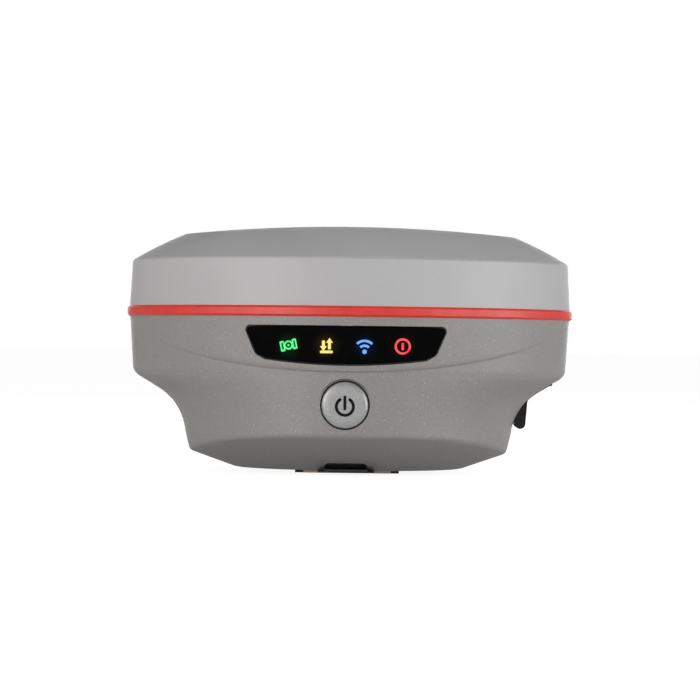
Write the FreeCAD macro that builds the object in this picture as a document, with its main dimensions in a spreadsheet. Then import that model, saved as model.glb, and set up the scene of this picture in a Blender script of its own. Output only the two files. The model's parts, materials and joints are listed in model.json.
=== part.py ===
import FreeCAD, Part
import Sketcher
import os
import re
import math

# Survey-grade GNSS receiver: a squat round housing on a threaded pole adapter, with a dome
# radome above a rubber bumper ring, a status window and a power button on the front (-Y),
# a rubber port cover in the right-hand scoop (+X) and a battery door at the back (+Y).
# The origin is the centre of the bottom mounting face and +Z is up. All sizes are in mm.

SIZES = {
    # housing shell
    "wall": 2.4, "base_z": 1.5, "base_radius": 40.0, "chamfer_run": 41.2, "chamfer_rise": 14.5,
    "joint_z": 54.0, "wall_radius": 76.5, "wall_radius_z": 36.0, "wall_slope": 0.055,
    "front_shift": 0.7, "brow_radius": 76.4, "brow_slope": 0.0667, "brow_peak_z": 57.8,
    "brow_fall": 0.286,
    # side scoops, as profiles turned about an axis on the far side of the housing
    "scoop_axis": 44.0, "neck_low": 53.7, "neck_half": 57.4, "neck_z": 14.0, "scoop_radius": 20.0,
    "scoop_half": 67.5, "scoop_z": 29.2, "under_half": 73.9, "under_z": 33.0,
    "shoulder_radius": 4.6, "shoulder_half": 76.4, "shoulder_z": 36.6, "rim_half": 77.55,
    # bumper ring and radome
    "ring_radius": 78.5, "ring_bore": 76.5, "ring_top": 57.6, "ring_edge": 0.7,
    "dome_wall": 2.4, "dome_foot": 77.7, "dome_shoulder": 76.85, "dome_shoulder_z": 73.2,
    "dome_rim": 75.9, "dome_rim_z": 74.2, "dome_edge": 58.6, "dome_edge_z": 82.95,
    "height": 86.2, "dome_boss_ring": 69.5, "dome_boss_radius": 3.0, "screw_radius": 1.25,
    # inner frame and boards
    "frame_low": 52.6, "frame_top": 55.4, "plate_z": 39.6, "plate_top": 41.2,
    "plate_radius": 62.0, "board_z": 43.2, "board_top": 44.8, "board_radius": 60.0,
    "post_x": 33.0, "post_front": -12.0, "post_back": 14.0, "post_radius": 3.5,
    # status window
    "window_top": 51.05, "window_half": 34.5, "window_mid_half": 30.4, "window_mid_z": 41.0,
    "window_low_half": 27.0, "window_low_z": 39.5, "window_low_arc": 200.0,
    "window_recess": 0.25, "gasket_width": 0.7, "icon_z": 44.35, "icon_pitch": 12.67,
    "icon_depth": 0.4,
    # power button
    "button_z": 24.6, "button_radius": 7.8, "button_hole": 8.3, "button_face": 75.4,
    "button_back": 71.0, "button_bevel": 1.1, "cup_radius": 9.8, "cup_floor": 69.2,
    "cup_end": 67.7, "plunger_end": 68.0, "symbol_radius": 3.3, "symbol_stroke": 0.95,
    # port cover
    "cover_half": 11.0, "cover_gap": 0.3, "cover_proud": 0.15, "cover_depth": 1.3,
    "cover_low": 15.9, "cover_hinge_x": 70.75, "cover_hinge_z": 31.8, "cover_bead": 0.75,
    "port_x": 54.0, "port_z": 23.0,
    # battery and its door
    "battery_half": 24.0, "battery_front": 27.5, "battery_length": 37.0, "battery_z": 18.6,
    "battery_tall": 19.0, "door_half": 28.0, "door_low": 17.6, "door_high": 40.0,
    "door_depth": 1.8, "door_proud": 0.35, "hinge_y": 75.0, "hinge_z": 15.8,
    "knuckle_radius": 1.6, "hinge_pin": 0.8, "knuckle_half": 8.0,
    # pole adapter and memory card door
    "insert_radius": 15.2, "insert_top": 22.0, "thread_radius": 7.94, "thread_depth": 14.0,
    "flange_radius": 24.4, "collar_radius": 18.1, "card_half": 9.6, "card_hinge_y": -20.0,
    "card_bead": 0.6, "card_z": 0.85,
}

doc = FreeCAD.newDocument("gnss_receiver")
sheet = doc.addObject("Spreadsheet::Sheet", "Sizes")
for row, (alias, number) in enumerate(SIZES.items(), start=1):
    sheet.set(f"A{row}", alias)
    sheet.set(f"B{row}", str(number))
    sheet.setAlias(f"B{row}", alias)
doc.recompute()

nodes = {}


def formula(words):
    """Write a formula in the sheet's words as a document expression."""
    return re.sub(r"[A-Za-z_]\w*",
                  lambda found: f"Sizes.{found.group()}" if found.group() in SIZES else found.group(),
                  str(words))


def value(words):
    """Give the number that a formula in the sheet's words comes to."""
    return float(sheet.evalExpression(formula(words)))


def bind(thing, **formulas):
    """Bind an object's properties to formulas."""
    for path, words in formulas.items():
        thing.setExpression(path.replace("__", "."), formula(words))


def keep(thing, node):
    """Name an object as a sub-part."""
    thing.Label = node
    nodes[node] = thing
    return thing


def move(thing, x="0", y="0", z="0"):
    """Place an object's origin."""
    bind(thing, Placement__Base__x=x, Placement__Base__y=y, Placement__Base__z=z)
    return thing


TURNS = {"X": FreeCAD.Rotation(FreeCAD.Vector(0, 1, 0), 90),
         "Y": FreeCAD.Rotation(FreeCAD.Vector(1, 0, 0), -90),
         "Z": FreeCAD.Rotation()}


def block(name, x, y, z, size_x, size_y, size_z):
    """Make a box centred on x and y that stands on z."""
    box = doc.addObject("Part::Box", name)
    bind(box, Length=size_x, Width=size_y, Height=size_z)
    return move(box, f"{x} - ({size_x}) / 2", f"{y} - ({size_y}) / 2", z)


def rod(name, radius, length, x="0", y="0", z="0", axis="Z"):
    """Make a cylinder that starts at a point and runs along an axis."""
    cylinder = doc.addObject("Part::Cylinder", name)
    cylinder.Placement = FreeCAD.Placement(FreeCAD.Vector(), TURNS[axis])
    bind(cylinder, Radius=radius, Height=length)
    return move(cylinder, x, y, z)


def cone(name, low_radius, top_radius, low_z, top_z, y="0"):
    """Make an upright cone between two heights."""
    shape = doc.addObject("Part::Cone", name)
    bind(shape, Radius1=low_radius, Radius2=top_radius, Height=f"{top_z} - ({low_z})")
    return move(shape, "0", y, low_z)


def fuse(name, *shapes):
    joined = doc.addObject("Part::MultiFuse", name)
    joined.Shapes = list(shapes)
    return joined


def common(name, *shapes):
    shared = doc.addObject("Part::MultiCommon", name)
    shared.Shapes = list(shapes)
    return shared


def cut(name, base, *tools):
    """Cut one or more tools from a base."""
    result = doc.addObject("Part::Cut", name)
    result.Base = base
    result.Tool = tools[0] if len(tools) == 1 else fuse(f"{name}_tools", *tools)
    return result


def group(name, *shapes):
    """Keep several solids together as one set, such as a set of screws."""
    bundle = doc.addObject("Part::Compound", name)
    bundle.Links = list(shapes)
    return bundle


def arc_centre(start, end, radius):
    """Find an arc's centre: left of the way from start to end when the radius is positive."""
    middle = [(a + b) / 2 for a, b in zip(start, end)]
    run = [b - a for a, b in zip(start, end)]
    chord = math.hypot(*run)
    reach = math.sqrt(radius * radius - chord * chord / 4)
    side = 1 if radius > 0 else -1
    return middle[0] - side * reach * run[1] / chord, middle[1] + side * reach * run[0] / chord


def outline(body, name, plane, corners, start="0"):
    """Draw a closed outline. A corner is (u, v), or (u, v, radius) where an arc leaves it."""
    sketch = body.newObject("Sketcher::SketchObject", name)
    origin = [feature for feature in body.Origin.OriginFeatures if feature.Role == plane]
    sketch.AttachmentSupport = [(origin[0], "")]
    sketch.MapMode = "FlatFace"
    bind(sketch, AttachmentOffset__Base__z=start)
    points = [(value(corner[0]), value(corner[1])) for corner in corners]
    for number, corner in enumerate(corners):
        first = FreeCAD.Vector(*points[number], 0)
        last = FreeCAD.Vector(*points[(number + 1) % len(points)], 0)
        if len(corner) == 2:
            sketch.addGeometry(Part.LineSegment(first, last))
            continue
        radius = value(corner[2])
        centre = FreeCAD.Vector(*arc_centre(points[number], (last.x, last.y), radius), 0)
        ends = [math.atan2(point.y - centre.y, point.x - centre.x) for point in (first, last)]
        if radius < 0:
            ends.reverse()
        circle = Part.Circle(centre, FreeCAD.Vector(0, 0, 1), abs(radius))
        sketch.addGeometry(Part.ArcOfCircle(circle, *ends))
    tie_outline(sketch, corners)
    return sketch


def tie_outline(sketch, corners):
    """Join an outline's segments and bind every corner and radius."""
    backwards = [len(corner) == 3 and value(corner[2]) < 0 for corner in corners]
    for number, corner in enumerate(corners):
        following = (number + 1) % len(corners)
        head = 2 if backwards[number] else 1
        tail = 1 if backwards[number] else 2
        next_head = 2 if backwards[following] else 1
        sketch.addConstraint(Sketcher.Constraint("Coincident", number, tail, following, next_head))
        for letter, words in zip("XY", corner[:2]):
            place = Sketcher.Constraint(f"Distance{letter}", -1, 1, number, head, value(words))
            index = sketch.addConstraint(place)
            sketch.setExpression(f"Constraints[{index}]", formula(words))
        if len(corner) == 3:
            bend = Sketcher.Constraint("Radius", number, abs(value(corner[2])))
            index = sketch.addConstraint(bend)
            sketch.setExpression(f"Constraints[{index}]", formula(f"abs({corner[2]})"))


def turned(name, corners):
    """Turn an outline of (radius, z) corners about the upright axis."""
    body = doc.addObject("PartDesign::Body", name)
    sketch = outline(body, f"{name}_outline", "XZ_Plane", corners)
    turn = body.newObject("PartDesign::Revolution", f"{name}_turn")
    turn.Profile = sketch
    turn.ReferenceAxis = (sketch, ["V_Axis"])
    turn.Angle = 360
    return body


def padded(name, plane, corners, start, length):
    """Pad an outline: XZ_Plane runs towards -Y, YZ_Plane towards +X, XY_Plane towards +Z."""
    body = doc.addObject("PartDesign::Body", name)
    sketch = outline(body, f"{name}_outline", plane, corners, start)
    pad = body.newObject("PartDesign::Pad", f"{name}_pad")
    pad.Profile = sketch
    bind(pad, Length=length)
    return body


def around(count, radius, turn=0.0):
    """Give evenly spaced points on a circle."""
    angles = [math.radians(turn + 360.0 * number / count) for number in range(count)]
    return [(radius * math.cos(angle), radius * math.sin(angle)) for angle in angles]


def screw(name, x, y, z, length, head_radius, head_tall, shank_radius):
    """Make a screw with its head below z and its shank above it; a negative length points down."""
    way = 1 if length > 0 else -1
    head_z = z - head_tall if way > 0 else z
    head = rod(f"{name}_head", str(head_radius), str(head_tall), str(x), str(y), str(head_z))
    shank_z = z if way > 0 else z + length
    shank = rod(f"{name}_shank", str(shank_radius), str(abs(length)), str(x), str(y), str(shank_z))
    drive_z = head_z if way > 0 else head_z + head_tall / 2
    drive = rod(f"{name}_drive", str(head_radius * 0.45), str(head_tall / 2), str(x), str(y),
                str(drive_z))
    return cut(name, fuse(f"{name}_blank", head, shank), drive)


# ---- outer surfaces, each with an inset from the outside --------------------------------------

def side_solid(name, side, inset):
    """The space inside one side scoop's surface, turned about an axis across the housing."""
    def half(words, share):
        return f"{words} + scoop_axis - {share} * ({inset})"
    body = turned(name, [
        ("0", "-1"),
        (half("neck_low", 0.97), "-1"),
        (half("neck_half", 0.97), f"neck_z + 0.24 * ({inset})", f"-(scoop_radius + {inset})"),
        (half("scoop_half", 0.47), f"scoop_z + 0.88 * ({inset})"),
        (half("under_half", 0.47), f"under_z + 0.88 * ({inset})", f"shoulder_radius - ({inset})"),
        (half("shoulder_half", 1), f"shoulder_z + 0.1 * ({inset})"),
        (half("rim_half", 1), "joint_z + 1"),
        ("0", "joint_z + 1"),
    ])
    return move(body, f"{-side} * scoop_axis")


def wall_cone(name, side, inset):
    """The space inside the front (-1) or back (1) wall, a cone with its axis set across."""
    def radius(height):
        return f"wall_radius + ({height} - wall_radius_z) * wall_slope - ({inset})"
    return cone(name, radius("-1"), radius("joint_z + 1"), "-1", "joint_z + 1",
                f"{-side} * front_shift")


def floor_solid(name, inset, top="joint_z + 1"):
    """The space above the flat base and the conical chamfer around it."""
    lift = f"1.064 * ({inset})"
    return turned(name, [
        ("0", f"base_z + {lift}"),
        ("base_radius", f"base_z + {lift}"),
        ("base_radius + chamfer_run", f"base_z + chamfer_rise + {lift}"),
        ("base_radius + chamfer_run", top),
        ("0", top),
    ])


def housing_solid(name, inset, top="joint_z + 1"):
    """The lower housing's outer shape, set in from the outside by the inset."""
    return common(name, floor_solid(f"{name}_floor", inset, top),
                  side_solid(f"{name}_right", 1, inset), side_solid(f"{name}_left", -1, inset),
                  wall_cone(f"{name}_front", -1, inset), wall_cone(f"{name}_back", 1, inset))


def brow_radius_at(height, inset="0"):
    return f"brow_radius + ({height} - wall_radius_z) * brow_slope - ({inset})"


def brow_band():
    """The upper band, which stands slightly proud and ends in a slanting lower edge."""
    band = cone("brow_blank", brow_radius_at("32"), brow_radius_at("joint_z"), "32", "joint_z")
    reach = "90"
    roof = padded("brow_roof", "YZ_Plane", [
        (f"-{reach}", "-5"), (reach, "-5"), (reach, f"brow_peak_z - {reach} * brow_fall"),
        ("0", "brow_peak_z"), (f"-{reach}", f"brow_peak_z - {reach} * brow_fall")],
        "-90", "180")
    return cut("brow_band", band, roof)


def window_prism(name, inset):
    """The status window's boat-shaped outline, run through the front wall."""
    top = f"window_top - ({inset})"
    low = f"window_low_z + 0.8 * ({inset})"
    return padded(name, "XZ_Plane", [
        (f"-(window_low_half - 0.7 * ({inset}))", low, "window_low_arc"),
        (f"window_low_half - 0.7 * ({inset})", low, "4"),
        (f"window_mid_half - ({inset})", "window_mid_z + 0.4"),
        (f"window_half - 0.2 - ({inset})", f"{top} - 1.2", "1.3"),
        (f"window_half - 1.6 - ({inset})", top),
        (f"-(window_half - 1.6 - ({inset}))", top, "1.3"),
        (f"-(window_half - 0.2 - ({inset}))", f"{top} - 1.2"),
        (f"-(window_mid_half - ({inset}))", "window_mid_z + 0.4", "4"),
    ], "58", "24")


def front_shell(name, outer, inner):
    """A thin front skin between two insets from the brow's surface."""
    skins = [cone(f"{name}_{word}", brow_radius_at("36", inset), brow_radius_at("52", inset),
                  "36", "52") for word, inset in (("out", outer), ("in", inner))]
    return cut(name, *skins)


# ---- housing ----------------------------------------------------------------------------------

def make_lower_housing():
    outer = fuse("housing_outer", housing_solid("housing_form", "0", "joint_z"), brow_band())
    shell = cut("housing_shell", outer, housing_solid("housing_room", "wall"))
    cup = rod("button_cup", "cup_radius", "button_face - 1.6 - cup_end",
              "0", "-(button_face - 1.6)", "button_z", "Y")
    ears = [rod(f"housing_ear_{number}", "knuckle_radius", "4", x, "hinge_y", "hinge_z", "X")
            for number, x in enumerate(("knuckle_half + 0.3", "-(knuckle_half + 4.3)"))]
    solid = fuse("housing_solid", shell, cup, *ears)
    cover_box = block("cover_pocket_box", "68", "0", "cover_low - cover_gap", "26",
                      "2 * (cover_half + cover_gap)", "cover_hinge_z - cover_low + 0.5")
    door_box = block("battery_pocket_box", "0", "72", "door_low - cover_gap",
                     "2 * (door_half + cover_gap)", "26", "door_high - door_low + cover_gap + 0.9")
    tools = [
        rod("button_well", "button_hole", "12", "0", "-(cup_floor + 12)", "button_z", "Y"),
        rod("plunger_hole", "3", "12", "0", "-(cup_end + 10)", "button_z", "Y"),
        window_prism("window_hole", "0"),
        cut("cover_pocket", cover_box, side_solid("cover_pocket_floor", 1, "cover_depth + 0.2")),
        rod("cover_bead_groove", "cover_bead + 0.3", "2 * (cover_half + cover_gap)",
            "cover_hinge_x", "-(cover_half + cover_gap)", "cover_hinge_z", "Y"),
        block("port_hole", "60", "0", "18.6", "20", "19", "9.6"),
        cut("battery_pocket", door_box, wall_cone("battery_pocket_floor", 1, "door_depth + 0.2")),
        block("battery_hole", "0", "72", "battery_z - 0.4", "2 * battery_half + 2", "20",
              "battery_tall + 1"),
        rod("knuckle_gap", "knuckle_radius + 0.3", "2 * knuckle_half + 0.6", "-(knuckle_half + 0.3)",
            "hinge_y", "hinge_z", "X"),
        rod("hinge_pin_hole", "hinge_pin", "2 * knuckle_half + 8.6", "-(knuckle_half + 4.3)",
            "hinge_y", "hinge_z", "X"),
        rod("collar_hole", "collar_radius", "8", "0", "0", "-1"),
        card_notch(),
        block("card_hole", "0", "-33.2", "0", "12.4", "10", "6"),
    ]
    for number, (x, y) in enumerate(post_places()):
        tools.append(rod(f"post_screw_hole_{number}", "1.5", "6", x, y, "0"))
        tools.append(rod(f"post_counterbore_{number}", "3", "2.6", x, y, "base_z - 1"))
    for number, (x, y) in enumerate(around(4, 21.3, 45)):
        tools.append(rod(f"flange_screw_hole_{number}", "screw_radius", "2.6", str(x), str(y), "2.2"))
    tools.append(rod("vent_hole", "2.5", "6", "-24", "24", "0"))
    keep(cut("lower_housing_cut", solid, *tools), "lower_housing")


def post_places():
    return [(x, y) for x in ("-post_x", "post_x") for y in ("post_front", "post_back")]


def card_notch():
    """The trapezoid notch in the front chamfer that the memory card door's tab fills."""
    return padded("card_notch", "XZ_Plane", [
        ("-8.15", "0.6"), ("8.15", "0.6"), ("7.4", "2.7", "1.7"), ("5.7", "4.35"),
        ("-5.7", "4.35", "1.7"), ("-7.4", "2.7")], "39.8", "9")


def make_bumper_ring():
    keep(turned("bumper_ring_body", [
        ("ring_bore", "joint_z"), ("ring_radius - ring_edge", "joint_z"),
        ("ring_radius", "joint_z + ring_edge"), ("ring_radius", "ring_top - ring_edge"),
        ("ring_radius - ring_edge", "ring_top"), ("ring_bore", "ring_top")]), "bumper_ring")


def dome_body(name, inset):
    """The radome's outer form, set in by the inset. The dome is part of a sphere on the axis."""
    half = f"(dome_edge - 0.3 * ({inset}))"
    rise = "(height - dome_edge_z)"
    return turned(name, [
        ("0", "ring_top"), (f"dome_foot - ({inset})", "ring_top"),
        (f"dome_shoulder - ({inset})", f"dome_shoulder_z - 0.4 * ({inset})", "1.5"),
        (f"dome_rim - 0.9 * ({inset})", f"dome_rim_z - 0.8 * ({inset})", "125"),
        (half, f"dome_edge_z - ({inset})", f"({half} * {half} + {rise} * {rise}) / (2 * {rise})"),
        ("0", f"height - ({inset})")])


def make_radome():
    shell = cut("radome_shell", dome_body("radome_outer", "0"), dome_body("radome_inner", "dome_wall"))
    places = around(6, value("dome_boss_ring"), 30)
    bosses = [rod(f"radome_boss_{number}", "dome_boss_radius", "20", str(x), str(y), "frame_top")
              for number, (x, y) in enumerate(places)]
    holes = [rod(f"radome_boss_hole_{number}", "screw_radius", "9", str(x), str(y), "frame_top - 1")
             for number, (x, y) in enumerate(places)]
    keep(cut("radome_cut", fuse("radome_blank", shell, *bosses), *holes), "radome")
    screws = [screw(f"radome_screw_{number}", x, y, value("frame_low"), 9.0, 2.3, 1.6,
                    value("screw_radius")) for number, (x, y) in enumerate(places)]
    keep(group("radome_screw_set", *screws), "radome_screws")


def make_mid_frame():
    plate = turned("mid_frame_plate", [
        ("20", "frame_low"), ("73.8", "frame_low"), ("73.8", "joint_z"), ("76.4", "joint_z"),
        ("76.4", "frame_top"), ("20", "frame_top")])
    holes = [rod(f"mid_frame_hole_{number}", "screw_radius", "4", str(x), str(y), "frame_low - 0.5")
             for number, (x, y) in enumerate(around(6, value("dome_boss_ring"), 30))]
    windows = [rod(f"mid_frame_window_{number}", "11", "4", str(x), str(y), "frame_low - 0.5")
               for number, (x, y) in enumerate(around(6, 44.0))]
    keep(cut("mid_frame_cut", plate, *holes, *windows), "mid_frame")
    seal = doc.addObject("Part::Torus", "seal_torus")
    bind(seal, Radius1="75.3", Radius2="0.9")
    keep(move(seal, z="frame_top + 1"), "seal_ring")


# ---- antenna ----------------------------------------------------------------------------------

def make_antenna():
    foot = turned("antenna_base_body", [
        ("3", "frame_top + 1"), ("56", "frame_top + 1"), ("58", "frame_top"), ("62", "frame_top"),
        ("64", "frame_top + 1"), ("64", "frame_top + 2"), ("3", "frame_top + 2")])
    keep(foot, "antenna_base")
    pins = around(4, 14.0, 45)
    base = "frame_top + 2"
    for node, radius, low, tall in (("antenna_lower_patch", "44", base, "6"),
                                    ("antenna_upper_patch", "32", f"{base} + 6", "5")):
        holes = [rod(f"{node}_hole_{number}", "0.6", "8", str(x), str(y), low)
                 for number, (x, y) in enumerate(pins)]
        centre = rod(f"{node}_centre_hole", "2", "8", "0", "0", low)
        disc = rod(f"{node}_disc", radius, tall, "0", "0", low)
        keep(cut(f"{node}_cut", disc, centre, *holes), node)
    feeds = [rod(f"feed_pin_{number}", "0.6", "11.6", str(x), str(y), base)
             for number, (x, y) in enumerate(pins)]
    keep(group("feed_pin_set", *feeds), "antenna_feed_pins")
    keep(screw("antenna_screw", 0.0, 0.0, value(f"{base} + 11"), -10.6, 4.0, 2.2, 2.0),
         "antenna_centre_screw")
    keep(rod("lna_disc", "18", "1.4", "0", "0", "frame_low + 0.8"), "lna_board")
    keep(block("lna_can", "0", "0", "frame_low + 2.2", "22", "16", "1.6"), "lna_shield")


def make_aerials():
    keep(block("cellular_strip", "0", "62.6", "43.2", "44", "1.0", "8.4"), "cellular_antenna")
    keep(block("wireless_strip", "62.6", "0", "43.2", "1.0", "30", "8.4"), "wireless_antenna")


# ---- boards -----------------------------------------------------------------------------------

def make_chassis():
    plate = rod("chassis_plate", "plate_radius", "plate_top - plate_z", "0", "0", "plate_z")
    floor = "base_z + 1.064 * wall"
    posts = [rod(f"chassis_post_{number}", "post_radius", f"plate_z + 0.5 - ({floor})", x, y, floor)
             for number, (x, y) in enumerate(post_places())]
    bosses = [rod(f"chassis_boss_{number}", "2.6", "board_z - plate_top + 0.5", str(x), str(y),
                  "plate_top - 0.5") for number, (x, y) in enumerate(around(4, 52.0, 45))]
    holes = [rod(f"chassis_post_hole_{number}", "1.5", "14", x, y, "2")
             for number, (x, y) in enumerate(post_places())]
    holes += [rod(f"chassis_boss_hole_{number}", "1.1", "5", str(x), str(y), "plate_z - 1")
              for number, (x, y) in enumerate(around(4, 52.0, 45))]
    keep(cut("chassis_cut", fuse("chassis_blank", plate, *posts, *bosses), *holes), "chassis")
    screws = [screw(f"housing_screw_{number}", value(x), value(y), value("base_z + 1.6"), 12.6, 2.8,
                    1.5, 1.5)
              for number, (x, y) in enumerate(post_places())]
    keep(group("housing_screw_set", *screws), "housing_screws")


def make_boards():
    disc = rod("main_board_disc", "board_radius", "board_top - board_z", "0", "0", "board_z")
    places = around(4, 52.0, 45)
    holes = [rod(f"main_board_hole_{number}", "1.1", "3", str(x), str(y), "board_z - 0.5")
             for number, (x, y) in enumerate(places)]
    keep(cut("main_board_cut", disc, *holes), "main_board")
    screws = [screw(f"board_screw_{number}", x, y, value("board_top"), -4.6, 2.1, 1.4, 1.1)
              for number, (x, y) in enumerate(places)]
    keep(group("board_screw_set", *screws), "board_screws")
    top = "board_top"
    keep(block("gnss_block", "-18", "-8", top, "28", "34", "3.4"), "gnss_module")
    keep(block("radio_block", "20", "-14", top, "30", "36", "4.2"), "radio_module")
    cans = [block(f"shield_can_{number}", x, y, top, "20", "16", "2.6")
            for number, (x, y) in enumerate((("-14", "24"), ("14", "24")))]
    keep(group("shield_can_set", *cans), "shield_cans")
    keep(block("tilt_block", "0", "42", top, "12", "12", "3"), "tilt_sensor")
    keep(rod("speaker_disc", "9", "4.2", "0", "-44", top), "speaker")


def make_window():
    lens = common("lens_form", window_prism("lens_prism", "gasket_width"),
                  front_shell("lens_shell", "window_recess", "window_recess + 2.0"))
    icons = [make_satellite_icon(), make_link_icon(), make_wireless_icon(), make_power_icon()]
    keep(cut("lens_cut", lens, *icons), "led_window")
    rim = cut("gasket_prism", window_prism("gasket_out", "0"),
              window_prism("gasket_in", "gasket_width"))
    keep(common("gasket_form", rim, front_shell("gasket_shell", "window_recess - 0.1",
                                                "window_recess + 2.0")), "window_gasket")
    places = [f"{step} * icon_pitch" for step in (-1.5, -0.5, 0.5, 1.5)]
    guides = [rod(f"guide_{number}", "3.2", "6.4", x, "-71.2", "icon_z", "Y")
              for number, x in enumerate(places[1:3])]
    guides += [rod(f"guide_{number + 2}", "3.2", "2.0", x, "-66.8", "icon_z", "Y")
               for number, x in enumerate((places[0], places[3]))]
    keep(group("guide_set", *guides), "light_guide")
    lamps = [block(f"lamp_{number}", x, "-64.35", "icon_z - 1.2", "2.4", "0.9", "2.4")
             for number, x in enumerate(places)]
    keep(group("lamp_set", *lamps), "status_leds")
    keep(block("led_strip", "0", "-63.2", "38", "52", "1.4", "13"), "led_board")


def on_front(name, *shapes):
    """Cut icon shapes out of the window's outer skin."""
    drawn = fuse(f"{name}_drawing", *shapes) if len(shapes) > 1 else shapes[0]
    return common(f"{name}_skin", drawn,
                  front_shell(f"{name}_shell", "window_recess", "window_recess + icon_depth"))


def stroke(name, x, z, wide, tall):
    """An upright bar of an icon, from its middle."""
    return block(name, x, "-75", f"{z} - ({tall}) / 2", str(wide), "6", str(tall))


def loop(name, x, z, outer, inner):
    """A round ring of an icon."""
    parts = [rod(f"{name}_{word}", str(radius), "6", x, "-78", z, "Y")
             for word, radius in (("out", outer), ("in", inner))]
    return cut(name, *parts)


def make_satellite_icon():
    x, z = "-1.5 * icon_pitch", "icon_z"
    panels = []
    for word, step in (("left", -2.25), ("right", 2.25)):
        plate = stroke(f"satellite_plate_{word}", f"{x} + {step}", z, 1.6, 1.9)
        gap = stroke(f"satellite_gap_{word}", f"{x} + {step}", z, 0.9, 1.2)
        panels.append(cut(f"satellite_panel_{word}", plate, gap))
    body = loop("satellite_body", x, z, 1.2, 0.6)
    dish = rod("satellite_dish", "0.55", "6", x, "-78", f"{z} - 1.95", "Y")
    return keep(on_front("satellite", *panels, body, dish), "icon_satellite")


def make_link_icon():
    x, tip = "-0.5 * icon_pitch", "icon_z + 0.6"
    arrows = []
    for word, step, way in (("down", -1.15, -1), ("up", 1.15, 1)):
        middle = f"{x} + {step}"
        corners = [(f"{middle} - 1.05", tip), (f"{middle} + 1.05", tip),
                   (middle, f"{tip} + {1.7 * way}")]
        if way < 0:
            corners.reverse()
        arrows.append(padded(f"link_head_{word}", "XZ_Plane", corners, "72", "6"))
        arrows.append(stroke(f"link_stem_{word}", middle, f"{tip} - {0.75 * way}", 0.9, 1.5))
    bar = stroke("link_bar", x, "icon_z - 2.1", 4.4, 0.8)
    return keep(on_front("link", *arrows, bar), "icon_data_link")


def make_wireless_icon():
    x, z = "0.5 * icon_pitch", "icon_z - 1.9"
    fan = padded("wireless_fan", "XZ_Plane",
                 [(x, z), (f"{x} + 5", f"{z} + 5"), (f"{x} - 5", f"{z} + 5")], "72", "6")
    waves = fuse("wireless_waves", loop("wireless_wave_small", x, z, 2.6, 1.9),
                 loop("wireless_wave_large", x, z, 4.4, 3.7))
    dot = rod("wireless_dot", "0.75", "6", x, "-78", z, "Y")
    return keep(on_front("wireless", common("wireless_arcs", waves, fan), dot), "icon_wireless")


def make_power_icon():
    x = "1.5 * icon_pitch"
    return keep(on_front("power", loop("power_loop", x, "icon_z", 2.75, 2.05),
                         stroke("power_stem", x, "icon_z", 0.85, 2.4)), "icon_power")


# ---- power button -----------------------------------------------------------------------------

def make_button():
    face = "-(button_face)"
    length = "button_face - button_back"
    cap = rod("button_blank", "button_radius", length, "0", face, "button_z", "Y")
    bevel = doc.addObject("Part::Chamfer", "button_bevelled")
    bevel.Base = cap
    doc.recompute()
    edge = [number for number, one in enumerate(cap.Shape.Edges, start=1)
            if len(one.Vertexes) == 1 and abs(one.BoundBox.YMin + value("button_face")) < 0.01
            and one.BoundBox.YLength < 0.01]
    bevel.Edges = [(edge[0], 0.5, value("button_bevel"))]
    plunger = rod("button_plunger", "2", "button_back - plunger_end + 0.5", "0", "-(button_back + 0.5)",
                  "button_z", "Y")
    centre = "button_z - 0.45"
    symbol_face = "-(button_face + 0.01)"
    arc = cut("symbol_ring",
              rod("symbol_out", "symbol_radius", "0.31", "0", symbol_face, centre, "Y"),
              rod("symbol_in", "symbol_radius - symbol_stroke", "0.31", "0", symbol_face, centre, "Y"),
              padded("symbol_gap", "XZ_Plane", [("0", centre), ("3.3", f"{centre} + 4.5"),
                                                ("-3.3", f"{centre} + 4.5")], "70", "8"))
    bar = block("symbol_bar", "0", f"{symbol_face} + 0.155", f"{centre} - 1.2", "0.9", "0.31", "4.8")
    symbol = keep(group("symbol_set", arc, bar), "button_symbol")
    keep(cut("button_cut", fuse("button_solid", bevel, plunger), symbol), "power_button")
    seal = [rod(f"seal_{word}", radius, "0.7", "0", "-(cup_floor + 0.7)", "button_z", "Y")
            for word, radius in (("out", "button_hole"), ("in", "4"))]
    keep(cut("button_seal_ring", *seal), "button_seal")
    switch = block("switch_block", "0", "-64.6", "button_z - 3", "6", "4", "6")
    nub = rod("switch_nub", "1.6", "1", "0", "-67.1", "button_z", "Y")
    keep(fuse("switch_solid", switch, nub), "button_switch")
    keep(block("switch_card", "0", "-62.0", "button_z - 9", "20", "1.2", "15"), "button_board")


# ---- ports ------------------------------------------------------------------------------------

def make_port_cover():
    box = block("cover_box", "68", "0", "cover_low + 2.6", "26", "2 * cover_half",
                "cover_hinge_z - cover_low - 3")
    skin = cut("cover_skin", side_solid("cover_out", 1, "-(cover_proud)"),
               side_solid("cover_in", 1, "cover_depth"))
    bead = rod("cover_bead_rod", "cover_bead", "2 * cover_half", "cover_hinge_x", "-(cover_half)",
               "cover_hinge_z", "Y")
    lip = padded("cover_lip", "XZ_Plane", [
        ("63.0", "26.4"), ("59.3", "22.0"), ("58.5", "17.5", "1.9"), ("62.2", "17.4")],
        "-(cover_half)", "2 * cover_half")
    keep(fuse("cover_solid", common("cover_slab", box, skin), bead, lip), "port_cover")


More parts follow.
